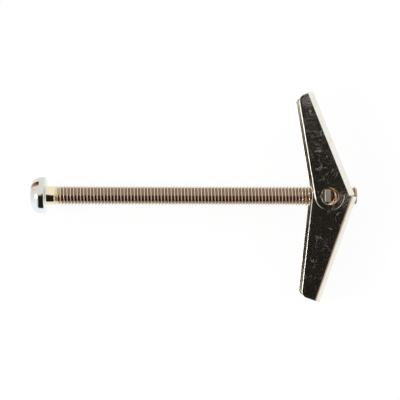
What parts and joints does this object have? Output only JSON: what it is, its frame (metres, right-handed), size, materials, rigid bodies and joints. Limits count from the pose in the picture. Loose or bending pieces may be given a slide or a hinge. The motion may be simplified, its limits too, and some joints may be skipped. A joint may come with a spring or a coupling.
{
  "type": "spring toggle bolt",
  "caption": "Slotted pan-head machine screw with a trunnion nut that carries sprung folding wings for gripping behind a hollow wall.",
  "frame": {"origin": "centre of the head's bearing face, on the bolt's axis", "axes": "+X along the bolt from the head towards the wings, +Y towards the upper wing, +Z along the wings' pivot, up from the surface that the bolt lies on"},
  "size_m": [0.0976, 0.0625, 0.0146],
  "materials": {
    "screw_steel": "yellow passivated zinc on steel, semi-bright",
    "nut_steel": "yellow passivated zinc on pressed steel",
    "spring_wire": "coppery passivated spring wire",
    "wing_steel": "bright zinc on pressed sheet steel, finely scratched"
  },
  "bodies": {
    "screw": {"machine_screw": "screw_steel"},
    "nut": {"trunnion_nut": "nut_steel", "torsion_spring": "spring_wire"},
    "upper_wing": {"wing_upper": "wing_steel"},
    "lower_wing": {"wing_lower": "wing_steel"}
  },
  "joints": [
    {"name": "nut_travel", "type": "slide", "parent": "screw", "child": "nut", "axis": [1, 0, 0], "range_m": [-0.05, 0.005]},
    {"name": "upper_fold", "type": "hinge", "parent": "nut", "child": "upper_wing", "pos_m": [0.08435, 0, 0], "axis": [0, 0, 1], "range_deg": [0, 72], "stiffness_Nm_per_rad": 0.04, "springref_deg": -22.92, "deforming": ["torsion_spring"]},
    {"name": "lower_fold", "type": "hinge", "parent": "nut", "child": "lower_wing", "pos_m": [0.08435, 0, 0], "axis": [0, 0, -1], "range_deg": [0, 76], "stiffness_Nm_per_rad": 0.04, "springref_deg": -22.92, "deforming": ["torsion_spring"]}
  ]
}
